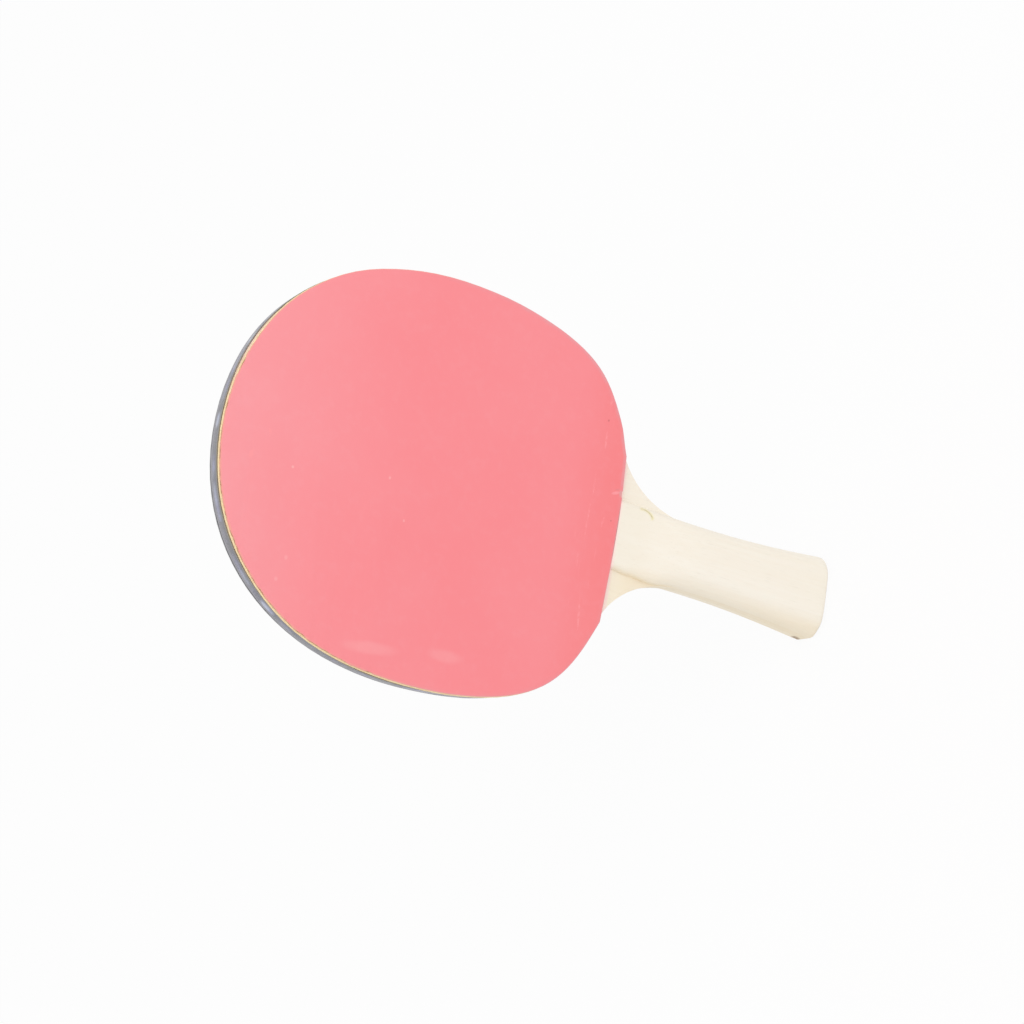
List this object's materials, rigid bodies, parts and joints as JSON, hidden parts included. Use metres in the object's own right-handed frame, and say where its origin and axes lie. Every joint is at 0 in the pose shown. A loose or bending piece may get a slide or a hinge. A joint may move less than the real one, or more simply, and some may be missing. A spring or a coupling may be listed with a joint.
{
  "type": "table tennis bat",
  "caption": "Round-headed table tennis bat with a layered wooden blade, sponge and smooth rubber on both faces, a taped edge and a flared two-piece wooden handle.",
  "frame": {"origin": "centre of the handle's flat butt end, in the middle of the blade's thickness", "axes": "+Z along the handle to the tip of the head, front (red) face to -Y, +X to the right seen from the front"},
  "size_m": [0.151, 0.0226, 0.2571],
  "materials": {
    "red_rubber": "smooth, dull sheen",
    "black_rubber": "smooth, dull sheen",
    "yellow_sponge": "matt, open cells",
    "dark_sponge": "matt, open cells",
    "pale_wood": "sanded, bare",
    "cross_wood": "sanded edge, bare",
    "core_wood": "sanded edge, bare",
    "scale_wood": "sanded, bare",
    "tape_film": "glossy film, slightly wrinkled"
  },
  "bodies": {
    "root": {"core_ply": "core_wood", "front_cross_ply": "cross_wood", "back_cross_ply": "cross_wood", "front_face_ply": "pale_wood", "back_face_ply": "pale_wood", "front_sponge": "yellow_sponge", "back_sponge": "dark_sponge", "front_rubber_sheet": "red_rubber", "back_rubber_sheet": "black_rubber", "front_handle_scale": "scale_wood", "back_handle_scale": "scale_wood", "edge_tape": "tape_film"}
  },
  "joints": []
}
